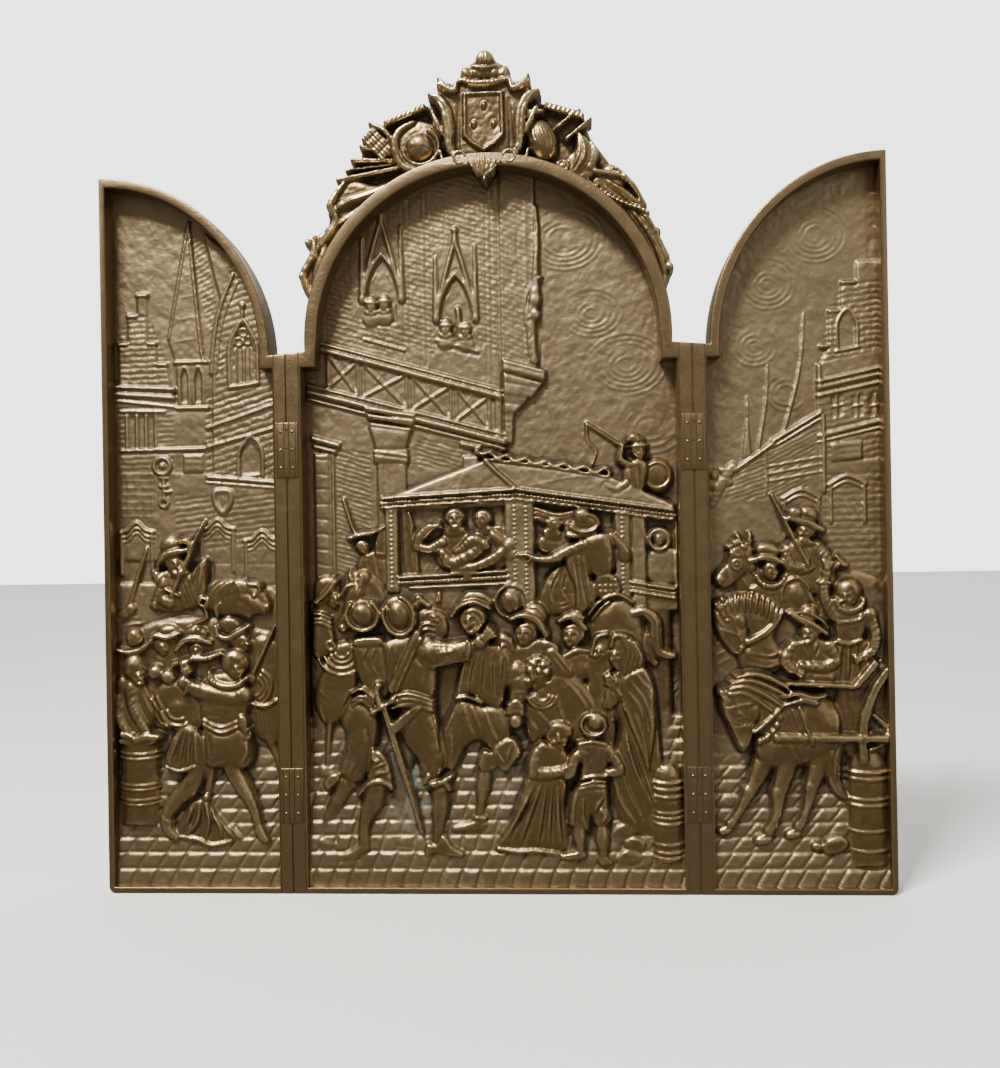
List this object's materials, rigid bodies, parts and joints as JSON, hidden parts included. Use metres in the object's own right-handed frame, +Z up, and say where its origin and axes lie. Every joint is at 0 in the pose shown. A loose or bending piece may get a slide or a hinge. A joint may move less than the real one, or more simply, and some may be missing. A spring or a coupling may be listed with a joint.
{
  "type": "relief plaque",
  "caption": "Cast brass wall plaque shaped like an open triptych: street-scene reliefs sunk in three arched leaves, under a crest of arms.",
  "frame": {"origin": "middle of the flat back face: on the centre line, halfway up the plaque", "axes": "+Z up, +X to the viewer's right, the front of the relief faces -Y and the back rests on the wall towards +Y"},
  "size_m": [0.28, 0.0153, 0.3006],
  "materials": {
    "antique_brass": "cast brass with a brown antique patina, rubbed bright on the high points"
  },
  "bodies": {
    "root": {"plaque": "antique_brass"}
  },
  "joints": []
}
